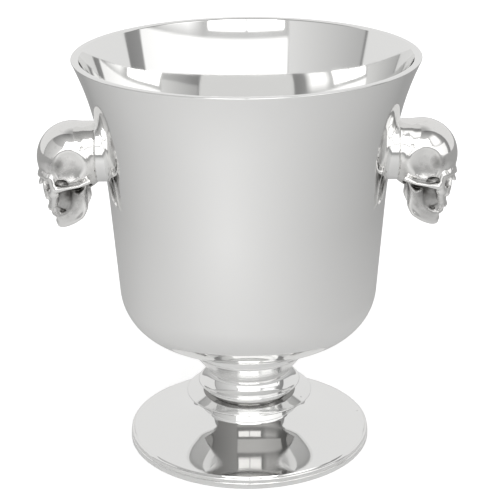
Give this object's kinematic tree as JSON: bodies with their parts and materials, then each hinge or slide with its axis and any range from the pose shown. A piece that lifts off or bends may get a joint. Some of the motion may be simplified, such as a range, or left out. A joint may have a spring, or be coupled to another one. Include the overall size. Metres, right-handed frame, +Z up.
{
  "type": "champagne bucket",
  "caption": "Flared polished-metal champagne bucket on a turned pedestal foot, with a cast skull as a handle on each side.",
  "frame": {"origin": "on the bucket's axis, in the plane that the foot ring stands on", "axes": "+Z up along the bucket's axis; +X through the right handle; +Y completes a right-handed frame"},
  "size_m": [0.286, 0.23, 0.278],
  "materials": {
    "polished_casting": "mirror polished",
    "antiqued_casting": "polished, dark in the recesses",
    "fastener_steel": "plain",
    "seal_rubber": "matt"
  },
  "bodies": {
    "root": {"bowl": "polished_casting", "stem_collar": "polished_casting", "upper_disc": "polished_casting", "lower_disc": "polished_casting", "foot": "polished_casting", "foot_ring": "polished_casting", "tie_stud": "fastener_steel", "tie_washer": "fastener_steel", "tie_spring_washer": "fastener_steel", "tie_nut": "fastener_steel", "handle_left_skull": "antiqued_casting", "handle_left_collar": "polished_casting", "handle_left_stud": "fastener_steel", "handle_left_pin": "fastener_steel", "handle_left_seal": "seal_rubber", "handle_left_washer": "fastener_steel", "handle_left_nut": "fastener_steel", "handle_right_skull": "antiqued_casting", "handle_right_collar": "polished_casting", "handle_right_stud": "fastener_steel", "handle_right_pin": "fastener_steel", "handle_right_seal": "seal_rubber", "handle_right_washer": "fastener_steel", "handle_right_nut": "fastener_steel"}
  },
  "joints": []
}
